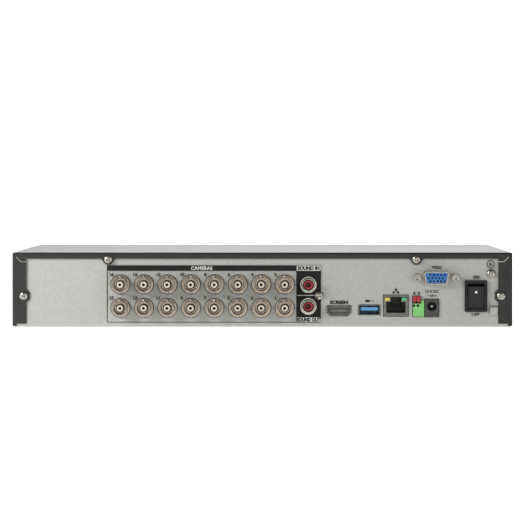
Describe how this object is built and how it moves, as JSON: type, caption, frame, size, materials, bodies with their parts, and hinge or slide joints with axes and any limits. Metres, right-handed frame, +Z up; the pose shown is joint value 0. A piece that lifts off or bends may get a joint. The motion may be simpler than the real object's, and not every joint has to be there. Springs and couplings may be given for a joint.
{
  "type": "video recorder",
  "caption": "Compact sheet-metal video recorder for security cameras, with rows of coaxial sockets, mixed rear sockets, a rocker switch and a plastic front bezel.",
  "frame": {"origin": "centre of the bounding box, on the plane that the rubber feet stand on", "axes": "+X to the right when facing the sockets, +Y from the sockets towards the front bezel, +Z up"},
  "size_m": [0.325, 0.257, 0.0511],
  "materials": {
    "cover_paint": "fine dark grey powder coat",
    "zinc_steel": "matt galvanised sheet",
    "nickel": "satin nickel plate over zinc",
    "bright_steel": "bright zinc-plated steel",
    "dark_steel": "tin-plated steel, dull",
    "black_plastic": "moulded, fine grain",
    "cream_plastic": "moulded, cream",
    "grey_plastic": "moulded, dark grey",
    "red_plastic": "moulded, satin",
    "blue_plastic": "moulded, satin",
    "green_plastic": "moulded, light green",
    "smoked_window": "polished smoked acrylic",
    "rubber": "matt black",
    "circuit_board": "green solder mask over fibreglass",
    "aluminium": "extruded, clear anodised",
    "drive_casting": "cast, satin",
    "cable_jacket": "flexible vinyl",
    "light_print": "screen-printed light ink",
    "dark_print": "screen-printed black ink"
  },
  "bodies": {
    "case": {"base_tray": "zinc_steel", "top_cover": "cover_paint", "front_bezel": "black_plastic", "front_window": "smoked_window", "rubber_foot_rear_left": "rubber", "rubber_foot_rear_right": "rubber", "rubber_foot_front_left": "rubber", "rubber_foot_front_right": "rubber", "cover_screw_top_left": "bright_steel", "cover_screw_top_right": "bright_steel", "cover_screw_side_left": "bright_steel", "cover_screw_side_right": "bright_steel", "ground_screw": "bright_steel", "audio_jack_screw": "bright_steel", "bnc_barrel_01": "nickel", "bnc_barrel_02": "nickel", "bnc_barrel_03": "nickel", "bnc_barrel_04": "nickel", "bnc_barrel_05": "nickel", "bnc_barrel_06": "nickel", "bnc_barrel_07": "nickel", "bnc_barrel_08": "nickel", "bnc_barrel_09": "nickel", "bnc_barrel_10": "nickel", "bnc_barrel_11": "nickel", "bnc_barrel_12": "nickel", "bnc_barrel_13": "nickel", "bnc_barrel_14": "nickel", "bnc_barrel_15": "nickel", "bnc_barrel_16": "nickel", "bnc_housing": "cream_plastic", "audio_jack_housing": "black_plastic", "audio_jack_sleeve_out": "nickel", "audio_jack_sleeve_in": "nickel", "audio_jack_insert_out": "red_plastic", "audio_jack_insert_in": "red_plastic", "video_socket_shell": "dark_steel", "video_socket_tongue": "black_plastic", "usb_socket_shell": "bright_steel", "usb_socket_tongue": "blue_plastic", "network_jack_shell": "bright_steel", "network_jack_insert": "black_plastic", "terminal_block": "green_plastic", "power_jack_body": "grey_plastic", "power_jack_pin": "nickel", "monitor_socket_shell": "bright_steel", "monitor_socket_insert": "blue_plastic", "monitor_socket_nut_left": "bright_steel", "monitor_socket_nut_right": "bright_steel", "rocker_switch_frame": "black_plastic", "main_board": "circuit_board", "heat_sink": "aluminium", "hard_drive": "drive_casting", "front_board": "circuit_board", "drive_cable": "cable_jacket", "switch_lead": "cable_jacket", "front_board_cable": "cable_jacket"},
    "power_rocker": {"rocker_switch_paddle": "grey_plastic"},
    "button_a": {"terminal_button_a": "red_plastic"},
    "button_b": {"terminal_button_b": "red_plastic"}
  },
  "joints": [
    {"name": "power_rocker_tilt", "type": "hinge", "parent": "case", "child": "power_rocker", "pos_m": [0.1387, -0.1167, 0.0227], "axis": [-1, 0, 0], "range_deg": [0, 24]},
    {"name": "button_a_press", "type": "slide", "parent": "case", "child": "button_a", "axis": [0, 1, 0], "range_m": [0, 0.0012], "stiffness_N_per_m": 800, "springref_m": -0.001},
    {"name": "button_b_press", "type": "slide", "parent": "case", "child": "button_b", "axis": [0, 1, 0], "range_m": [0, 0.0012], "stiffness_N_per_m": 800, "springref_m": -0.001}
  ]
}
